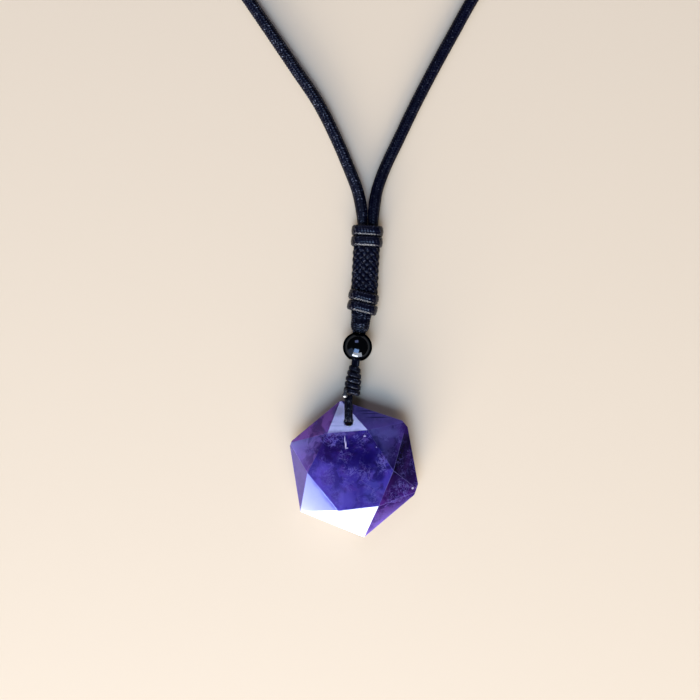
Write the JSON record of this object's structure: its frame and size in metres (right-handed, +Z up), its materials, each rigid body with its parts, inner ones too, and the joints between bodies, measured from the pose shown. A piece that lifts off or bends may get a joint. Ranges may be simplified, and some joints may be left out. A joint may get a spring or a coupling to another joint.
{
  "type": "faceted stone pendant necklace",
  "caption": "Flat faceted purple stone with a star cut round its table, hung by a knotted cord and a round black bead from a braided neck cord with a woven sleeve.",
  "frame": {"origin": "middle of the stone's back table, on the surface that the necklace lies on", "axes": "+Z up from that surface, +Y from the stone along the necklace towards the back of the neck"},
  "size_m": [0.1507, 0.3321, 0.007],
  "materials": {
    "stone": "polished, cloudy purple quartz",
    "cord": "braided, slightly waxy",
    "melted_cord": "melted, glossy",
    "bead": "polished"
  },
  "bodies": {
    "root": {"stone": "stone", "stone_loop": "cord", "knot": "cord", "bead_thread": "cord", "neck_cord": "cord", "lower_wrap_1": "cord", "lower_wrap_2": "cord", "woven_sleeve": "cord", "upper_wrap_1": "cord", "upper_wrap_2": "cord", "sealed_end": "melted_cord", "bead": "bead"}
  },
  "joints": []
}
